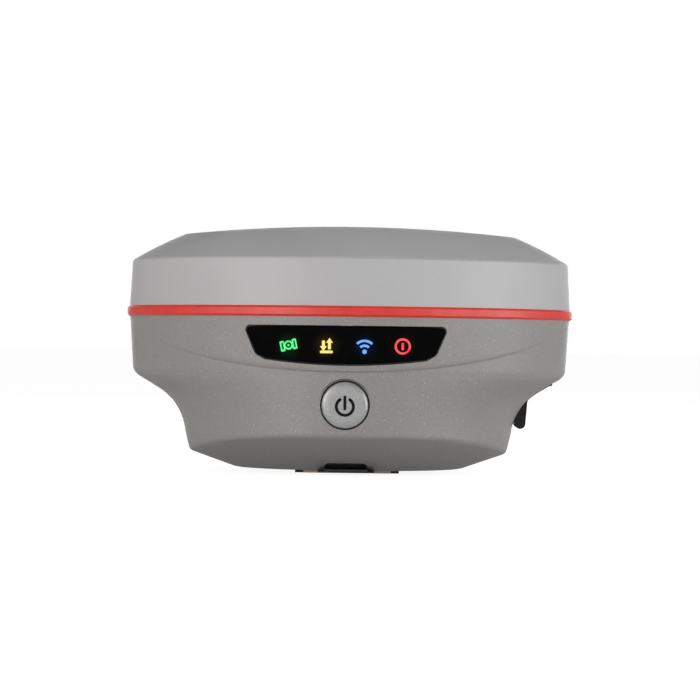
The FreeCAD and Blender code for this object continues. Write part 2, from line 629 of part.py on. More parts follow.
def make_ports():
    plate = block("port_plate_box", "port_x + 0.6", "0", "17.6", "1.2", "20.6", "11.4")
    round_at = ("-4.9", "port_z + 0.4")
    flat_y, flat_z = "5.2", "port_z + 0.4"
    holes = [rod("round_port_hole", "4.3", "3", "port_x - 1", *round_at, "X"),
             block("flat_port_hole", "port_x + 0.5", flat_y, f"{flat_z} - 1.9", "3", "9.6", "3.8")]
    keep(cut("port_plate_cut", plate, *holes), "port_plate")
    body = rod("round_port_body", "4.3", "7.5", "port_x - 5", *round_at, "X")
    bore = rod("round_port_bore", "3.4", "5", "port_x - 2.5", *round_at, "X")
    core = rod("round_port_core", "2.2", "4", "port_x - 2.6", *round_at, "X")
    keep(fuse("round_port_solid", cut("round_port_tube", body, bore), core), "data_port")
    case = block("flat_port_case", "port_x - 1.4", flat_y, f"{flat_z} - 1.9", "7.2", "9.6", "3.8")
    room = block("flat_port_room", "port_x + 0.4", flat_y, f"{flat_z} - 1.4", "5", "8.6", "2.8")
    tongue = block("flat_port_tongue", "port_x - 0.6", flat_y, f"{flat_z} - 0.35", "4", "6.6", "0.7")
    keep(fuse("flat_port_solid", cut("flat_port_tube", case, room), tongue), "usb_port")
    keep(block("port_card", "port_x - 5.8", "0", "17.6", "1.6", "20.6", "12"), "port_board")


def make_card_slot():
    slab = block("card_slab", "0", "(card_hinge_y - 44) / 2", "card_z + 0.1", "2 * card_half",
                 "44 + card_hinge_y", "0.5")
    bead = rod("card_bead_rod", "card_bead", "2 * card_half", "-(card_half)", "card_hinge_y",
               "card_z", "X")
    tab = common("card_tab", padded("card_tab_prism", "XZ_Plane", [
        ("-7.8", "1.05"), ("7.8", "1.05"), ("7.1", "2.6", "1.6"), ("5.5", "4.1"),
        ("-5.5", "4.1", "1.6"), ("-7.1", "2.6")], "40.1", "8.3"), floor_solid("card_tab_face", "-0.2"))
    foot = block("card_tab_foot", "0", "-42.4", "card_z + 0.1", "14.8", "3.6", "1.2")
    keep(fuse("card_door_solid", slab, bead, tab, foot), "card_door")
    tray = block("card_tray_box", "0", "-33.2", "base_z + 1.064 * wall", "14.4", "12", "6")
    tray_room = block("card_tray_room", "0", "-33.2", "3", "12.4", "10", "5.4")
    keep(cut("card_tray_cut", tray, tray_room), "card_tray")
    keep(block("memory_card_body", "0", "-33.2", "3.4", "11", "1.0", "4.6"), "memory_card")


# ---- battery ----------------------------------------------------------------------------------

def make_battery():
    inner = "battery_half + 0.3"
    room_z = "battery_z - 0.3"
    shell = block("bay_box", "0", "(24.2 + 66) / 2", f"{room_z} - 1.5", f"2 * ({inner} + 1.5)",
                  "66 - 24.2", "battery_tall + 0.6 + 3 - 1.0")
    room = block("bay_room", "0", "(25.8 + 72) / 2", room_z, f"2 * ({inner})", "72 - 25.8",
                 "battery_tall + 0.6")
    keep(cut("bay_cut", shell, room), "battery_bay")
    keep(block("pack_body", "0", "battery_front + battery_length / 2", "battery_z", "2 * battery_half",
               "battery_length", "battery_tall"), "battery_pack")
    contacts = [block(f"contact_{number}", x, "26.65", "24", "3", "1.7", "7")
                for number, x in enumerate(("-9", "0", "9"))]
    keep(group("contact_set", *contacts), "battery_contacts")
    make_battery_door()


def make_battery_door():
    box = block("door_box", "0", "72", "door_low", "2 * door_half", "26", "door_high - door_low")
    skin = cut("door_skin", wall_cone("door_out", 1, "-(door_proud)"),
               wall_cone("door_in", 1, "door_depth"))
    knuckle = rod("door_knuckle", "knuckle_radius", "2 * knuckle_half", "-(knuckle_half)", "hinge_y",
                  "hinge_z", "X")
    web = block("door_web", "0", "hinge_y - 0.1", "hinge_z", "2 * knuckle_half", "2.0", "3")
    bore = rod("door_bore", "hinge_pin + 0.05", "2 * knuckle_half + 2", "-(knuckle_half + 1)", "hinge_y",
               "hinge_z", "X")
    track = block("latch_track", "0", "76.8", "30.6", "12.8", "4", "7.8")
    keep(cut("door_cut", fuse("door_solid", common("door_slab", box, skin), knuckle, web), bore, track),
         "battery_door")
    keep(rod("hinge_pin_rod", "hinge_pin", "2 * knuckle_half + 8.4", "-(knuckle_half + 4.2)", "hinge_y",
             "hinge_z", "X"), "battery_door_pin")
    slider = block("latch_slider", "0", "75.55", "31.0", "12.2", "1.3", "4.6")
    grips = [block(f"latch_grip_{number}", "0", "76.4", f"{31.8 + 1.2 * number}", "9", "0.6", "0.5")
             for number in range(3)]
    keep(fuse("latch_solid", slider, *grips), "battery_latch")
    keep(cut("door_gasket_ring",
             block("door_gasket_out", "0", "66.45", "battery_z - 1.6", "2 * battery_half + 3.2", "0.9",
                   "battery_tall + 2.2"),
             block("door_gasket_in", "0", "66.45", "battery_z - 0.3", "2 * battery_half + 0.6", "2",
                   "battery_tall + 0.6")), "battery_bay_seal")


# ---- pole adapter -----------------------------------------------------------------------------

def make_pole_adapter():
    floor = "base_z + 1.064 * wall"
    insert = turned("thread_insert_body", [
        ("thread_radius + 0.8", "0"), ("insert_radius - 0.6", "0"), ("insert_radius", "0.6"),
        ("insert_radius", floor), ("flange_radius", floor), ("flange_radius", f"{floor} + 2"),
        ("insert_radius", f"{floor} + 2"), ("insert_radius", "insert_top"), ("0", "insert_top"),
        ("0", "thread_depth + 4.6"), ("thread_radius", "thread_depth + 0.8"), ("thread_radius", "0.8")])
    apron = cut("insert_apron", block("insert_apron_box", "0", "-9.5", "0", "2 * insert_radius", "19",
                                      "base_z - 0.1"),
                rod("insert_apron_bore", "thread_radius + 1", "3", "0", "0", "-0.5"))
    holes = [rod(f"flange_hole_{number}", "screw_radius", "4", str(x), str(y), "3.5")
             for number, (x, y) in enumerate(around(4, 21.3, 45))]
    keep(cut("thread_insert_cut", fuse("insert_solid", insert, apron), *holes), "thread_insert")
    collar = turned("base_plate_body", [
        ("insert_radius", "0.3"), ("collar_radius - 0.5", "0.3"), ("collar_radius", "0.8"),
        ("collar_radius", floor), ("insert_radius", floor)])
    feet = block("base_plate_feet", "0", "-9.5", "0.05", "2 * collar_radius", "19", "base_z - 0.1")
    front_gap = block("base_plate_gap", "0", "-10", "-0.5", "2 * insert_radius", "20",
                      "base_z + 0.5")
    keep(cut("base_plate_cut", fuse("base_plate_solid", collar, feet), front_gap), "base_plate")
    screws = [screw(f"base_screw_{number}", x, y, value(f"{floor} + 2"), -3.6, 2.3, 1.5,
                    value("screw_radius")) for number, (x, y) in enumerate(around(4, 21.3, 45))]
    keep(group("base_screw_set", *screws), "base_screws")
    keep(rod("vent_disc", "2.5", "2.2", "-24", "24", "base_z + 0.2"), "vent_plug")
    keep(block("label_plate", "0", "31.5", "base_z - 0.25", "30", "12", "0.25"), "rating_label")


make_lower_housing()
make_bumper_ring()
make_radome()
make_mid_frame()
make_antenna()
make_aerials()
make_chassis()
make_boards()
make_window()
make_button()
make_port_cover()
make_ports()
make_card_slot()
make_battery()
make_pole_adapter()
doc.recompute()

for thing in doc.Objects:
    if "Invalid" in thing.State or "Error" in thing.State:
        raise RuntimeError(f"{thing.Name} failed: {thing.State}")
os.makedirs("parts", exist_ok=True)
for node, thing in nodes.items():
    if thing.Shape.isNull() or not thing.Shape.isValid():
        raise RuntimeError(f"{node} has no valid shape")
    thing.Shape.exportStep(f"parts/{node}.step")
    print(node, len(thing.Shape.Solids), round(thing.Shape.Volume, 1))
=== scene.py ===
import bpy
import bmesh
import json
import math
from mathutils import Matrix, Vector


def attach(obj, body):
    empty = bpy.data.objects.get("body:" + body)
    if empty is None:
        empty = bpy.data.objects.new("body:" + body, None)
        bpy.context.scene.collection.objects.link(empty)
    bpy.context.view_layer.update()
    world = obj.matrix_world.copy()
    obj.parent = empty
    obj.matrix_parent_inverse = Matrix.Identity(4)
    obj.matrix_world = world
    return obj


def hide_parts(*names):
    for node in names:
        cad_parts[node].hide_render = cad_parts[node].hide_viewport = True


# A survey GNSS receiver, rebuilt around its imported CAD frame. Lengths are written in mm
# through MM, because every object here is in metres.

MM = 0.001
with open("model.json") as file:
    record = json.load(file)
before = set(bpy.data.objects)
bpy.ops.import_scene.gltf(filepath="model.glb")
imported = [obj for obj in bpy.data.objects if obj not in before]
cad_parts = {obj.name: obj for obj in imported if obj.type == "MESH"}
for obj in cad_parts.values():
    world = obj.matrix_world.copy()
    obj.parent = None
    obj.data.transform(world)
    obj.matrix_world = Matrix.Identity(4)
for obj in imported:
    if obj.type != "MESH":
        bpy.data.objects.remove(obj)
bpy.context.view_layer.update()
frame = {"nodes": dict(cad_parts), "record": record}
scene = bpy.context.scene


# ---- camera and light -------------------------------------------------------------------------

CAMERA_DISTANCE = 1212 * MM
CAMERA_HEIGHT = 43.9 * MM
AIM_HEIGHT = 42.9 * MM
AIM_ACROSS = 0.25 * MM
CAMERA_YAW = math.radians(0.95)
CAMERA_ROLL = math.radians(0.7)
CAMERA_LENS = 176.0
SENSOR_WIDTH = 36.0


def make_camera():
    """A long lens, level with the middle of the receiver, straight in front of it."""
    lens = bpy.data.cameras.new("camera")
    lens.lens = CAMERA_LENS
    lens.sensor_width = SENSOR_WIDTH
    lens.clip_start = 0.01
    camera = bpy.data.objects.new("camera", lens)
    place = Vector((math.sin(CAMERA_YAW), -math.cos(CAMERA_YAW), 0)) * CAMERA_DISTANCE
    place.z = CAMERA_HEIGHT
    aim = Vector((AIM_ACROSS, 0, AIM_HEIGHT)) - place
    turn = aim.to_track_quat("-Z", "Y").to_matrix() @ Matrix.Rotation(CAMERA_ROLL, 3, "Z")
    camera.matrix_world = Matrix.Translation(place) @ turn.to_4x4()
    scene.collection.objects.link(camera)
    scene.camera = camera


def softbox(name, azimuth, elevation, distance, wide, tall, power, colour=(1, 1, 1)):
    """A rectangular lamp that faces the receiver. Azimuth 0 is the camera's side."""
    lamp = bpy.data.lights.new(name, "AREA")
    lamp.shape = "RECTANGLE"
    lamp.size = wide
    lamp.size_y = tall
    lamp.energy = power
    lamp.color = colour
    holder = bpy.data.objects.new(name, lamp)
    side, up = math.radians(azimuth), math.radians(elevation)
    place = Vector((math.sin(side) * math.cos(up), -math.cos(side) * math.cos(up), math.sin(up)))
    place *= distance
    place.z += AIM_HEIGHT
    aim = Vector((0, 0, AIM_HEIGHT)) - place
    turn = aim.to_track_quat("-Z", "Y").to_matrix()
    holder.matrix_world = Matrix.Translation(place) @ turn.to_4x4()
    scene.collection.objects.link(holder)


def seen_or_lit(tree, seen, lit):
    """Mix two shaders: one for what the camera sees directly, one for the light it gives."""
    path = tree.nodes.new("ShaderNodeLightPath")
    mix = tree.nodes.new("ShaderNodeMixShader")
    tree.links.new(path.outputs["Is Camera Ray"], mix.inputs[0])
    tree.links.new(lit, mix.inputs[1])
    tree.links.new(seen, mix.inputs[2])
    return mix.outputs[0]


AMBIENT = 0.29
FLOOR_GLOW = 0.14
LAMPS = [
    # name, azimuth, elevation, distance, width, height, power, colour
    ("left_softbox", -34, 6, 1.3, 0.3, 0.9, 10.5, (1.0, 0.985, 0.97)),
    ("left_wing", -62, 6, 1.3, 0.4, 0.9, 5.0, (1.0, 0.985, 0.97)),
    ("right_softbox", 84, 6, 1.3, 0.4, 0.9, 10.5, (0.985, 0.99, 1.0)),
    ("right_wing", 52, 6, 1.3, 0.3, 0.9, 7.0, (0.985, 0.99, 1.0)),
    ("front_fill", 0, 6, 1.6, 1.2, 0.5, 1.2, (1, 1, 1)),
    ("rear_fill", 180, 4, 1.6, 1.2, 0.5, 9.0, (1, 1, 1)),
]


def make_studio():
    """A white surround for the camera, with a dimmer even light, and the soft lamps."""
    world = bpy.data.worlds.new("studio")
    scene.world = world
    world.use_nodes = True
    tree = world.node_tree
    tree.nodes.clear()
    shades = []
    for strength in (1.0, AMBIENT):
        shade = tree.nodes.new("ShaderNodeBackground")
        shade.inputs["Color"].default_value = (1, 1, 1, 1)
        shade.inputs["Strength"].default_value = strength
        shades.append(shade.outputs[0])
    output = tree.nodes.new("ShaderNodeOutputWorld")
    tree.links.new(seen_or_lit(tree, *shades), output.inputs["Surface"])
    for lamp in LAMPS:
        softbox(*lamp)
    scene.view_settings.view_transform = "Standard"
    scene.view_settings.look = "None"


FLOOR_REACH = 40.0
FLOOR_DROP = 0.05 * MM
FLOOR_SEEN_GLOW = 0.9
FLOOR_SEEN_GREY = 0.28
FLOOR_BOUNCE_GREY = 0.72


def make_floor():
    """A pale floor: near white where the camera sees it, matte for its light, clear from below."""
    mesh = bpy.data.meshes.new("floor")
    corners = [(x * FLOOR_REACH, y * FLOOR_REACH, 0)
               for x, y in ((-1, -1), (1, -1), (1, 1), (-1, 1))]
    mesh.from_pydata(corners, [], [(0, 1, 2, 3)])
    floor = bpy.data.objects.new("floor", mesh)
    floor.location.z = -FLOOR_DROP
    scene.collection.objects.link(floor)
    paint = bpy.data.materials.new("floor_white")
    paint.use_nodes = True
    tree = paint.node_tree
    tree.nodes.clear()

    def matte_glow(grey_level, strength):
        """A matte shader with an even glow added to it."""
        matte = tree.nodes.new("ShaderNodeBsdfDiffuse")
        matte.inputs["Color"].default_value = (grey_level, grey_level, grey_level, 1)
        glow = tree.nodes.new("ShaderNodeEmission")
        glow.inputs["Strength"].default_value = strength
        both = tree.nodes.new("ShaderNodeAddShader")
        tree.links.new(matte.outputs[0], both.inputs[0])
        tree.links.new(glow.outputs[0], both.inputs[1])
        return both.outputs[0]

    seen = matte_glow(FLOOR_SEEN_GREY, FLOOR_SEEN_GLOW)
    lit = matte_glow(FLOOR_BOUNCE_GREY, FLOOR_GLOW)
    side = tree.nodes.new("ShaderNodeNewGeometry")
    clear = tree.nodes.new("ShaderNodeBsdfTransparent")
    one_sided = tree.nodes.new("ShaderNodeMixShader")
    output = tree.nodes.new("ShaderNodeOutputMaterial")
    tree.links.new(side.outputs["Backfacing"], one_sided.inputs[0])
    tree.links.new(seen_or_lit(tree, seen, lit), one_sided.inputs[1])
    tree.links.new(clear.outputs[0], one_sided.inputs[2])
    tree.links.new(one_sided.outputs[0], output.inputs["Surface"])
    mesh.materials.append(paint)


# ---- materials --------------------------------------------------------------------------------

ICON_PITCH = 12.67
ICON_PLACES = [ICON_PITCH * step for step in (-1.5, -0.5, 0.5, 1.5)]
ICON_Z = 44.35
ICON_COLOURS = {
    # slot: (core, edge)
    "icon_green": ((0.13, 0.94, 0.28), (0.05, 0.80, 0.16)),
    "icon_yellow": ((0.98, 0.78, 0.21), (0.94, 0.62, 0.10)),
    "icon_blue": ((0.16, 0.42, 1.0), (0.06, 0.22, 0.98)),
    "icon_red": ((0.90, 0.10, 0.10), (0.84, 0.04, 0.05)),
}
BROW_RADIUS = 76.4
BROW_RADIUS_Z = 36.0
BROW_SLOPE = 0.0667
WINDOW_RECESS = 0.25


def face_point(x, z, lift):
    """A point (mm) of the status window's face, lifted outwards from it."""
    radius = BROW_RADIUS - WINDOW_RECESS + (z - BROW_RADIUS_Z) * BROW_SLOPE + lift
    return Vector((x, -math.sqrt(radius ** 2 - x ** 2), z))


class Paint:
    """A procedural material around one Principled shader."""

    def __init__(self, name, roughness, metallic=0.0, **settings):
        self.material = bpy.data.materials.new(name)
        self.material.use_nodes = True
        self.tree = self.material.node_tree
        self.shader = self.tree.nodes["Principled BSDF"]
        self.shader.inputs["Roughness"].default_value = roughness
        self.shader.inputs["Metallic"].default_value = metallic
        for words, number in settings.items():
            self.shader.inputs[words.replace("_", " ")].default_value = number
        self.place = self.tree.nodes.new("ShaderNodeTexCoord").outputs["Object"]
        self.height = None

    def noise(self, size_mm, detail=3.0):
        """A noise whose features are about this large."""
        cloud = self.tree.nodes.new("ShaderNodeTexNoise")
        cloud.inputs["Scale"].default_value = 1 / (size_mm * MM)
        cloud.inputs["Detail"].default_value = detail
        self.tree.links.new(self.place, cloud.inputs["Vector"])
        return cloud.outputs["Fac"]

    def specks(self, size_mm):
        """A value for each small cell, even across the cell."""
        cells = self.tree.nodes.new("ShaderNodeTexVoronoi")
        cells.inputs["Scale"].default_value = 1 / (size_mm * MM)
        self.tree.links.new(self.place, cells.inputs["Vector"])
        split = self.tree.nodes.new("ShaderNodeSeparateColor")
        self.tree.links.new(cells.outputs["Color"], split.inputs[0])
        return split.outputs[0]

    def ramp(self, source, *stops):
        """Turn a value into a colour by stops of (place, colour)."""
        band = self.tree.nodes.new("ShaderNodeValToRGB")
        ends = band.color_ramp.elements
        while len(ends) < len(stops):
            ends.new(0.5)
        for end, (where, colour) in zip(ends, stops):
            end.position = where
            end.color = (*colour, 1)
        self.tree.links.new(source, band.inputs["Fac"])
        return band.outputs["Color"]

    def mix(self, share, first, second, blend="MIX"):
        """Blend two colours; share is a number or an output."""
        node = self.tree.nodes.new("ShaderNodeMix")
        node.data_type = "RGBA"
        node.blend_type = blend
        for number, thing in ((0, share), (6, first), (7, second)):
            socket = node.inputs[number]
            if isinstance(thing, (int, float)):
                socket.default_value = thing
            elif isinstance(thing, tuple):
                socket.default_value = (*thing, 1)
            else:
                self.tree.links.new(thing, socket)
        return node.outputs[2]

    def colour(self, source):
        self.tree.links.new(source, self.shader.inputs["Base Color"])
        return self

    def gloss(self, source, low, high):
        """Vary the roughness between two values."""
        span = self.tree.nodes.new("ShaderNodeMapRange")
        span.inputs["To Min"].default_value = low
        span.inputs["To Max"].default_value = high
        self.tree.links.new(source, span.inputs["Value"])
        self.tree.links.new(span.outputs[0], self.shader.inputs["Roughness"])
        return self

    def bump(self, source, depth_mm, strength=1.0):
        bumps = self.tree.nodes.new("ShaderNodeBump")
        bumps.inputs["Strength"].default_value = strength
        bumps.inputs["Distance"].default_value = depth_mm * MM
        self.tree.links.new(source, bumps.inputs["Height"])
        if self.height:
            self.tree.links.new(self.height, bumps.inputs["Normal"])
        self.height = bumps.outputs["Normal"]
        self.tree.links.new(self.height, self.shader.inputs["Normal"])
        return self

    def glow(self, source, strength):
        self.tree.links.new(source, self.shader.inputs["Emission Color"])
        self.shader.inputs["Emission Strength"].default_value = strength
        return self


def grey(level):
    return (level, level, level)


def varied(name, colour, roughness, size_mm=1.2, spread=0.08, metallic=0.0, bump_mm=0.0,
           **settings):
    """A moulded or machined finish: one colour with a fine, slight variation."""
    paint = Paint(name, roughness, metallic, **settings)
    low = tuple(part * (1 - spread) for part in colour)
    high = tuple(min(1.0, part * (1 + spread)) for part in colour)
    cloud = paint.noise(size_mm)
    paint.colour(paint.ramp(cloud, (0.3, low), (0.7, high)))
    paint.gloss(paint.noise(size_mm * 6), roughness * 0.85, min(1.0, roughness * 1.15))
    if bump_mm:
        paint.bump(paint.noise(size_mm * 0.5), bump_mm)
    return paint


def housing_paint():
    """Warm grey metallic paint: a fine mottle with scattered bright flakes and an orange peel."""
    paint = Paint("housing_paint", 0.5, 0.0, Coat_Weight=0.1, Coat_Roughness=0.35)
    mottle = paint.ramp(paint.noise(0.4, 4), (0.34, (0.184, 0.176, 0.168)),
                        (0.66, (0.230, 0.221, 0.212)))
    flakes = paint.ramp(paint.specks(0.26), (0.985, (0, 0, 0)), (1.0, (0.2, 0.2, 0.2)))
    paint.colour(paint.mix(1.0, mottle, flakes, "ADD"))
    paint.gloss(paint.specks(0.26), 0.42, 0.6)
    paint.bump(paint.noise(0.35), 0.012, 0.5)
    return paint


def radome_plastic():
    """Light grey satin plastic with a very fine grain and faint soft clouding."""
    paint = Paint("radome_plastic", 0.55, 0.0)
    cloud = paint.ramp(paint.noise(26, 2), (0.3, (0.364, 0.359, 0.361)),
                       (0.7, (0.387, 0.383, 0.386)))
    grain = paint.ramp(paint.noise(0.35, 2), (0.35, grey(0.95)), (0.65, grey(1.0)))
    paint.colour(paint.mix(1.0, cloud, grain, "MULTIPLY"))
    paint.gloss(paint.noise(8), 0.5, 0.6)
    paint.bump(paint.noise(0.5), 0.012, 0.5)
    return paint


def red_rubber():
    """Smooth saturated rubber with a soft sheen."""
    paint = Paint("red_rubber", 0.45)
    cloud = paint.noise(4, 3)
    paint.colour(paint.ramp(cloud, (0.3, (0.52, 0.022, 0.014)), (0.7, (0.61, 0.030, 0.019))))
    paint.gloss(paint.noise(1.0), 0.38, 0.52)
    paint.bump(paint.noise(0.4), 0.015)
    return paint


def window_black():
    """Black glass, with a faint halo where each icon's light spreads under the face."""
    paint = Paint("window_black", 0.07, 0.0, Specular_IOR_Level=0.03)
    paint.colour(paint.ramp(paint.noise(6), (0.3, grey(0.0008)), (0.7, grey(0.0016))))
    paint.gloss(paint.noise(12), 0.05, 0.1)
    halo = (0.0, 0.0, 0.0)
    for x, (_, edge) in zip(ICON_PLACES, ICON_COLOURS.values()):
        reach = paint.tree.nodes.new("ShaderNodeVectorMath")
        reach.operation = "DISTANCE"
        paint.tree.links.new(paint.place, reach.inputs[0])
        reach.inputs[1].default_value = face_point(x, ICON_Z, 0.0) * MM
        fade = paint.tree.nodes.new("ShaderNodeMapRange")
        fade.interpolation_type = "SMOOTHSTEP"
        fade.inputs["From Min"].default_value = 1.2 * MM
        fade.inputs["From Max"].default_value = 5.2 * MM
        fade.inputs["To Min"].default_value = 0.016
        fade.inputs["To Max"].default_value = 0.0
        paint.tree.links.new(reach.outputs["Value"], fade.inputs["Value"])
        glow = paint.mix(fade.outputs[0], (0.0, 0.0, 0.0), edge)
        halo = paint.mix(1.0, halo, glow, "ADD")
    paint.glow(halo, 1.0)
    return paint


def icon_light(name):
    """A lit icon, a little paler in some places than in others."""
    core, edge = ICON_COLOURS[name]
    paint = Paint(name, 0.4, 0.0, Specular_IOR_Level=0.1)
    shade = paint.ramp(paint.noise(2.5, 1), (0.3, edge), (0.45, core))
    paint.colour(paint.mix(0.9, shade, (0.0, 0.0, 0.0)))
    paint.glow(shade, 1.0)
    return paint


def button_silver():
    """Silver-grey metallic plastic with fine flakes."""
    paint = Paint("button_silver", 0.38, 0.35)
    flakes = paint.ramp(paint.specks(0.25), (0.2, grey(0.29)), (0.9, grey(0.37)))
    paint.colour(flakes)
    paint.gloss(paint.noise(1.0), 0.32, 0.44)
    return paint


def turned_metal(name, colour, roughness):
    """Turned metal: rings around the upright axis."""
    paint = Paint(name, roughness, 1.0)
    rings = paint.tree.nodes.new("ShaderNodeTexWave")
    rings.wave_type = "RINGS"
    rings.rings_direction = "Z"
    rings.inputs["Scale"].default_value = 900
    rings.inputs["Distortion"].default_value = 1.5
    paint.tree.links.new(paint.place, rings.inputs["Vector"])
    low = tuple(part * 0.88 for part in colour)
    paint.colour(paint.ramp(rings.outputs["Fac"], (0.2, low), (0.8, colour)))
    paint.bump(rings.outputs["Fac"], 0.01, 0.4)
    return paint


def circuit_board():
    """Green solder mask with faint copper traces under it."""
    paint = Paint("circuit_board", 0.3)
    traces = paint.ramp(paint.specks(2.2), (0.45, (0.008, 0.09, 0.035)), (0.55, (0.02, 0.17, 0.06)))
    paint.colour(traces)
    paint.gloss(paint.noise(3), 0.24, 0.4)
    return paint


def make_materials():
    """One finished material for each of the record's slots."""
    return {
        "radome_plastic": radome_plastic(),
        "housing_paint": housing_paint(),
        "red_rubber": red_rubber(),
        "black_rubber": varied("black_rubber", grey(0.008), 0.5, 0.8, 0.25, bump_mm=0.02,
                               Specular_IOR_Level=0.3),
        "window_black": window_black(),
        **{name: icon_light(name) for name in ICON_COLOURS},
        "button_silver": button_silver(),
        "symbol_black": varied("symbol_black", grey(0.0015), 0.5, 0.6, 0.2,
                               Specular_IOR_Level=0.15),
        "door_black": varied("door_black", grey(0.012), 0.14, 2.0, 0.2),
        "black_plastic": varied("black_plastic", grey(0.018), 0.45, 0.6, 0.2, bump_mm=0.02),
        "insert_metal": turned_metal("insert_metal", (0.74, 0.60, 0.50), 0.34),
        "frame_metal": varied("frame_metal", grey(0.55), 0.42, 0.7, 0.1, 1.0, 0.02),
        "chassis_metal": varied("chassis_metal", grey(0.45), 0.5, 0.7, 0.1, 1.0, 0.02),
        "steel": varied("steel", grey(0.58), 0.3, 0.5, 0.1, 1.0),
        "brass": varied("brass", (0.72, 0.52, 0.22), 0.3, 0.6, 0.1, 1.0),
        "nickel": varied("nickel", (0.66, 0.64, 0.60), 0.22, 0.6, 0.06, 1.0),
        "tin_can": varied("tin_can", grey(0.6), 0.36, 1.5, 0.08, 1.0),
        "patch_ceramic": varied("patch_ceramic", (0.7, 0.66, 0.58), 0.6, 0.8, 0.06, bump_mm=0.02),
        "circuit_board": circuit_board(),
        "flex_film": varied("flex_film", (0.16, 0.09, 0.03), 0.3, 1.0, 0.1),
        "clear_plastic": varied("clear_plastic", grey(0.85), 0.1, 2.0, 0.03,
                                Transmission_Weight=0.8),
        "lamp_white": varied("lamp_white", (0.8, 0.78, 0.62), 0.4, 0.5, 0.05),
        "pack_plastic": varied("pack_plastic", grey(0.03), 0.5, 0.5, 0.2, bump_mm=0.03),
        "label_grey": varied("label_grey", grey(0.5), 0.5, 0.8, 0.04),
    }


def dress_cad_nodes(materials):
    """Give every CAD node its slot's finished material."""
    for row in frame["record"]["subparts"]:
        mesh = frame["nodes"][row["node"]].data
        mesh.materials.clear()
        mesh.materials.append(materials[row["material_slot"]].material)


# ---- the housing's surface --------------------------------------------------------------------

BASE_Z = 1.5
BASE_RADIUS = 40.0
CHAMFER_SLOPE = 14.5 / 41.2
COLLAR_RADIUS = 18.1
JOINT_Z = 54.0
WALL = 2.4
BROW_PEAK_Z = 57.8
BROW_FALL = 0.286
BROW_STEP = 0.9
EDGE_ROUND = 1.3
COLUMNS = 400
BUTTON_Z = 24.6
DOOR_HINGE_Y, DOOR_HINGE_Z = 75.0, 15.8
FOOT_POSTS = [(x, y) for x in (-33.0, 33.0) for y in (-12.0, 14.0)]


def arc_at(z, low, high, radius, outside):
    """The half width on an arc between two (half width, z) points; outside is its centre's side."""
    run = Vector(high) - Vector(low)
    reach = math.sqrt(radius ** 2 - (run.length / 2) ** 2)
    middle = (Vector(low) + Vector(high)) / 2
    across = Vector((run.y, -run.x)).normalized() * (reach if outside else -reach)
    centre = middle + across
    swing = math.sqrt(max(radius ** 2 - (z - centre.y) ** 2, 0))
    return centre.x - swing if outside else centre.x + swing


def half_width(z):
    """The housing's half width in X: neck, concave scoop, shoulder and rim."""
    neck, scoop, under = (57.4, 14.0), (67.5, 29.2), (73.9, 33.0)
    shoulder, rim = (76.4, 36.6), (77.5, 54.0)
    if z < neck[1]:
        return neck[0] - (neck[1] - z) * 0.247
    if z < scoop[1]:
        return arc_at(z, neck, scoop, 20.0, True)
    if z < under[1]:
        return scoop[0] + (z - scoop[1]) * (under[0] - scoop[0]) / (under[1] - scoop[1])
    if z < shoulder[1]:
        return arc_at(z, under, shoulder, 4.6, False)
    return shoulder[0] + (z - shoulder[1]) * (rim[0] - shoulder[0]) / (rim[1] - shoulder[1])


def half_depth(z):
    """The housing's half depth in Y, on the nearly upright front and back walls."""
    return 75.8 + (z - 36.0) * 0.055


def roundness(z):
    """The plan's exponent: 2 is an ellipse, and a little more gives the neck fuller corners."""
    return 2.0 + 0.3 * min(1.0, max(0.0, (half_depth(z) - half_width(z)) / 19.0))


def plan_point(turn, z):
    """A point of the wall at a height, by its turn around the plan."""
    power = 2.0 / roundness(z)
    across, along = math.cos(turn), math.sin(turn)
    return Vector((math.copysign(abs(across) ** power, across) * half_width(z),
                   math.copysign(abs(along) ** power, along) * half_depth(z)))


def brow_line(point):
    """The height of the brow's lower edge, on two planes that fall to front and back."""
    return min(BROW_PEAK_Z - BROW_FALL * abs(point.y), JOINT_Z - 0.2)


def smooth(share):
    share = min(1.0, max(0.0, share))
    return share * share * (3 - 2 * share)


def wall_point(turn, z):
    """A point of the wall with the brow: the upper band stands proud above the slanting edge."""
    point = plan_point(turn, z)
    band = BROW_RADIUS + (z - BROW_RADIUS_Z) * BROW_SLOPE
    proud = max(0.0, band - point.length)
    above = z - brow_line(point)
    share = smooth((above + BROW_STEP) / BROW_STEP) if proud else 0.0
    return point * (1 + proud * share / point.length)


def chamfer_height(radius):
    return BASE_Z + max(0.0, radius - BASE_RADIUS) * CHAMFER_SLOPE


def edge_height(turn):
    """The height where the wall meets the bottom chamfer."""
    z = 12.0
    for _ in range(12):
        z = chamfer_height(plan_point(turn, z).length)
    return z


def steps_between(low, high, count):
    return [low + (high - low) * step / count for step in range(count)]


